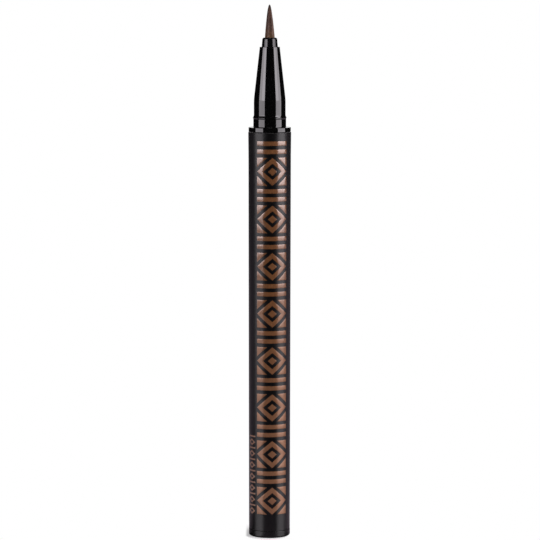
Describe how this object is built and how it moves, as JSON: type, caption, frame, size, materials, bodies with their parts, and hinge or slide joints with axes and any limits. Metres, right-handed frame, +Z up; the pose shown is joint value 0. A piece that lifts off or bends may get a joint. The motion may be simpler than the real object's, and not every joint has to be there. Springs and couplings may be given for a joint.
{
  "type": "liquid eyeliner pen",
  "caption": "Slim upright liquid eyeliner pen without its cap: matte barrel tank, glossy nose with a snap seat for the cap, and a pointed brush fed through a finned collector.",
  "frame": {"origin": "centre of the flat foot that the pen stands on", "axes": "+Z up along the pen's axis, from the foot to the brush; the foil stamp faces -Y"},
  "size_m": [0.0104, 0.0104, 0.1289],
  "materials": {
    "soft_touch_black": "soft matte lacquer with a bronze foil stamp",
    "gloss_black": "high gloss",
    "satin_black": "satin",
    "brown_filament": "fine drawn filaments",
    "white_resin": "as moulded",
    "porous_fibre": "ground fibre rod",
    "seal_rubber": "matte",
    "ball_steel": "polished stainless steel"
  },
  "bodies": {
    "pen": {"barrel": "soft_touch_black", "tail_plug": "soft_touch_black", "front_section": "gloss_black", "section_seal_ring": "seal_rubber", "tip_holder": "satin_black", "brush": "brown_filament", "brush_retainer": "white_resin", "relay_core": "porous_fibre", "collector": "white_resin", "collector_seal_ring": "seal_rubber"},
    "ball": {"stirring_ball": "ball_steel"}
  },
  "joints": [
    {"name": "ball_travel", "type": "slide", "parent": "pen", "child": "ball", "axis": [0, 0, 1], "range_m": [0, 0.0572]}
  ]
}
